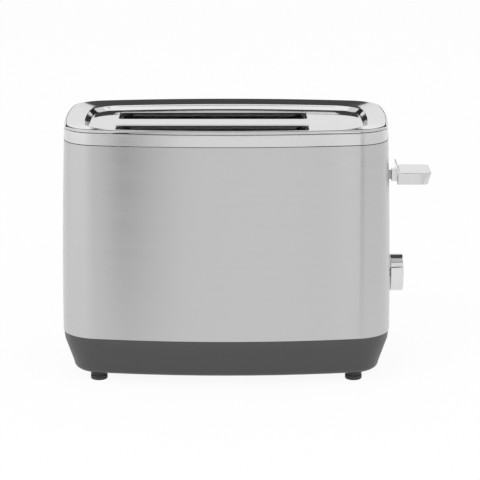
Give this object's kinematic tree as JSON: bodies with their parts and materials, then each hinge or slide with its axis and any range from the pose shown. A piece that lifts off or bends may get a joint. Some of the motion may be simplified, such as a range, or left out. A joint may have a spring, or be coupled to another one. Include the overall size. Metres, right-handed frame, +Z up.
{
  "type": "pop up toaster",
  "caption": "Free-standing pop-up toaster with side-by-side bread slots, a side lever that lowers the bread lifts, a browning dial, push buttons and a crumb tray.",
  "frame": {"origin": "on the resting plane, below the middle of the body", "axes": "+Z up, -Y towards the front, +X towards the lever"},
  "size_m": [0.297, 0.1572, 0.2061],
  "materials": {
    "base_plastic": "fine moulded grain, dark grey",
    "brushed_wrap": "stainless steel with a horizontal grain",
    "satin_ring": "satin stainless steel",
    "polished_cover": "polished stainless steel",
    "tray_steel": "plain rolled sheet",
    "zinc_screw": "zinc plated",
    "black_bushing": "soft black moulding",
    "chrome_trim": "bright plated",
    "zinc_steel": "zinc plated sheet",
    "chrome_dial": "bright plated, turned face",
    "chrome_button": "bright plated plastic",
    "inner_plastic": "plain moulding",
    "galvanised_sheet": "galvanised sheet",
    "bright_reflector": "bright sheet, heat tinted",
    "mica_sheet": "pressed mica, flecked",
    "heating_ribbon": "oxidised nickel chrome ribbon",
    "guard_wire": "plated wire",
    "lift_steel": "stainless sheet",
    "polished_rod": "ground rod",
    "spring_wire": "spring steel wire",
    "magnet_iron": "laminated iron",
    "copper_coil": "enamelled copper winding",
    "circuit_board": "green solder mask",
    "pot_case": "moulded case",
    "switch_plastic": "small black mouldings",
    "contact_phenolic": "brown phenolic",
    "foot_rubber": "dark rubber"
  },
  "bodies": {
    "root": {"base": "base_plastic", "body_wrap": "brushed_wrap", "trim_ring": "satin_ring", "top_cover": "polished_cover", "foot_front_left": "foot_rubber", "foot_front_right": "foot_rubber", "foot_rear_left": "foot_rubber", "foot_rear_right": "foot_rubber", "base_screws": "zinc_screw", "cord_bushing": "black_bushing", "button_guide": "inner_plastic", "bottom_frame": "galvanised_sheet", "top_frame": "galvanised_sheet", "chassis_left": "galvanised_sheet", "chassis_right": "galvanised_sheet", "reflector_front": "bright_reflector", "reflector_rear": "bright_reflector", "mica_front": "mica_sheet", "mica_centre": "mica_sheet", "mica_rear": "mica_sheet", "ribbon_front": "heating_ribbon", "ribbon_centre": "heating_ribbon", "ribbon_rear": "heating_ribbon", "guide_rod": "polished_rod", "lift_spring": "spring_wire", "magnet_core": "magnet_iron", "magnet_coil": "copper_coil", "control_board": "circuit_board", "potentiometer": "pot_case", "tact_switches": "switch_plastic", "contact_block": "contact_phenolic"},
    "lift_carriage": {"lever_handle": "chrome_trim", "lever_stem": "zinc_steel", "carriage": "zinc_steel", "lift_front": "lift_steel", "lift_rear": "lift_steel", "keeper": "magnet_iron"},
    "guard_a": {"guard_front_outer": "guard_wire"},
    "guard_b": {"guard_front_inner": "guard_wire"},
    "guard_c": {"guard_rear_inner": "guard_wire"},
    "guard_d": {"guard_rear_outer": "guard_wire"},
    "dial": {"browning_dial": "chrome_dial", "dial_shaft": "zinc_steel"},
    "cancel": {"cancel_button": "chrome_button"},
    "reheat": {"reheat_button": "chrome_button"},
    "defrost": {"defrost_button": "chrome_button"},
    "tray": {"crumb_tray": "tray_steel"}
  },
  "joints": [
    {"name": "lever_slide", "type": "slide", "parent": "root", "child": "lift_carriage", "axis": [0, 0, 1], "range_m": [-0.056, 0], "stiffness_N_per_m": 120, "springref_m": 0.035, "deforming": ["lift_spring"]},
    {"name": "guard_front_outer_slide", "type": "slide", "parent": "root", "child": "guard_a", "axis": [0, 1, 0], "range_m": [0, 0.0042]},
    {"name": "guard_front_inner_slide", "type": "slide", "parent": "root", "child": "guard_b", "axis": [0, -1, 0], "range_m": [0, 0.0042]},
    {"name": "guard_rear_inner_slide", "type": "slide", "parent": "root", "child": "guard_c", "axis": [0, 1, 0], "range_m": [0, 0.0042]},
    {"name": "guard_rear_outer_slide", "type": "slide", "parent": "root", "child": "guard_d", "axis": [0, -1, 0], "range_m": [0, 0.0042]},
    {"name": "dial_turn", "type": "hinge", "parent": "root", "child": "dial", "pos_m": [0.14, 0, 0.0754], "axis": [1, 0, 0], "range_deg": [0, 270]},
    {"name": "cancel_press", "type": "slide", "parent": "root", "child": "cancel", "axis": [-1, 0, 0], "range_m": [0, 0.0016], "stiffness_N_per_m": 300, "springref_m": -0.001},
    {"name": "reheat_press", "type": "slide", "parent": "root", "child": "reheat", "axis": [-1, 0, 0], "range_m": [0, 0.0016], "stiffness_N_per_m": 300, "springref_m": -0.001},
    {"name": "defrost_press", "type": "slide", "parent": "root", "child": "defrost", "axis": [-1, 0, 0], "range_m": [0, 0.0016], "stiffness_N_per_m": 300, "springref_m": -0.001},
    {"name": "tray_slide", "type": "slide", "parent": "root", "child": "tray", "axis": [0, 1, 0], "range_m": [0, 0.1]}
  ],
  "couplings": [
    {"joint": "guard_front_outer_slide", "follows": "lever_slide", "ratio": -0.0739},
    {"joint": "guard_front_inner_slide", "follows": "lever_slide", "ratio": -0.0739},
    {"joint": "guard_rear_inner_slide", "follows": "lever_slide", "ratio": -0.0739},
    {"joint": "guard_rear_outer_slide", "follows": "lever_slide", "ratio": -0.0739}
  ]
}
